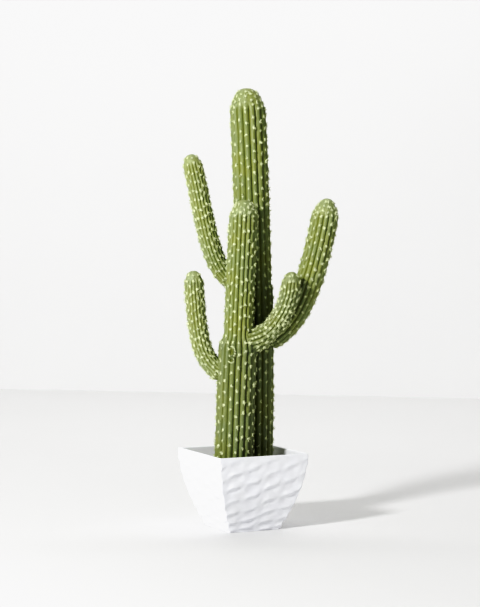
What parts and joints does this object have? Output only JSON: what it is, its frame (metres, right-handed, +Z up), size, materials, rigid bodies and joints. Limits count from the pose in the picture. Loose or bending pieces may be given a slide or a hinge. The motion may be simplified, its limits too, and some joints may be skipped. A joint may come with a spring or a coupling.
{
  "type": "artificial saguaro cactus in a pot",
  "caption": "Artificial saguaro cactus: ribbed stems side by side with upcurving arms, standing in a square tapered pot.",
  "frame": {"origin": "centre of the pot's flat underside", "axes": "+Z up the stems; the pot's walls face +X, -X, +Y and -Y, and the front corner of the pictured view lies between -X and -Y"},
  "size_m": [0.26, 0.1757, 0.786],
  "materials": {
    "pot": "matt white, with a chiselled wave relief",
    "filling": "rough grit",
    "cactus": "satin green moulded plastic with cream tufts along the ribs"
  },
  "bodies": {
    "root": {"pot": "pot", "filling": "filling", "tall_stem": "cactus", "short_stem": "cactus", "high_left_arm_elbow": "cactus", "high_left_arm_upright": "cactus", "low_left_arm_elbow": "cactus", "low_left_arm_upright": "cactus", "large_right_arm_elbow": "cactus", "large_right_arm_upright": "cactus", "small_right_arm_elbow": "cactus", "small_right_arm_upright": "cactus"}
  },
  "joints": []
}
